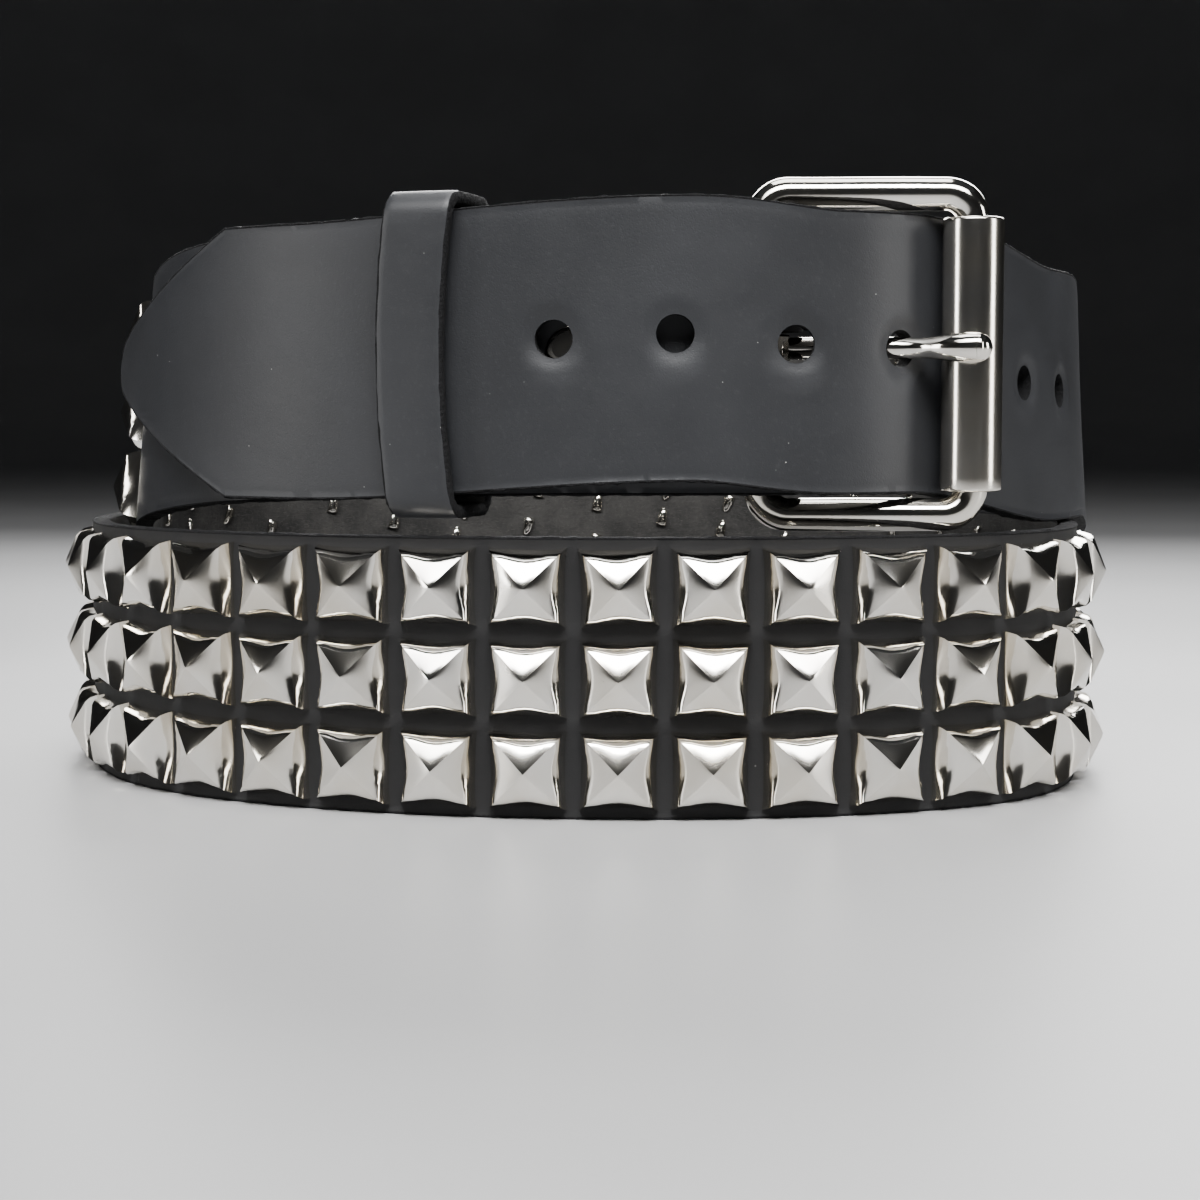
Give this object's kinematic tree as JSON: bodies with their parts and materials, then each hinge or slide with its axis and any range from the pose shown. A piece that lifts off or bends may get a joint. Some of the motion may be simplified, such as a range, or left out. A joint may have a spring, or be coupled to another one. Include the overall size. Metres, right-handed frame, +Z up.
{
  "type": "studded belt",
  "caption": "Wide leather belt with rows of pyramid studs, fastened on a roller buckle with a keeper and coiled twice into a standing double loop.",
  "frame": {"origin": "centre of the bounding box in plan, on the plane that the lower turn of the coiled belt stands on", "axes": "+Z up; the buckle, the tip and the lower turn's front face -Y; +X is to the right of someone who looks at the buckle"},
  "size_m": [0.1936, 0.171, 0.1012],
  "materials": {
    "leather": "smooth semi-matte black, raw cut edges",
    "nickel": "polished nickel plate"
  },
  "bodies": {
    "belt": {"studded_strap": "leather", "keeper": "leather", "buckle_frame": "nickel", "buckle_prong": "nickel", "rivet_1": "nickel", "rivet_2": "nickel"},
    "roller": {"buckle_roller": "nickel"}
  },
  "joints": [
    {"name": "roller_spin", "type": "hinge", "parent": "belt", "child": "roller", "pos_m": [0.06322, -0.06828, 0.07305], "axis": [0, 0, 1], "continuous": true}
  ]
}
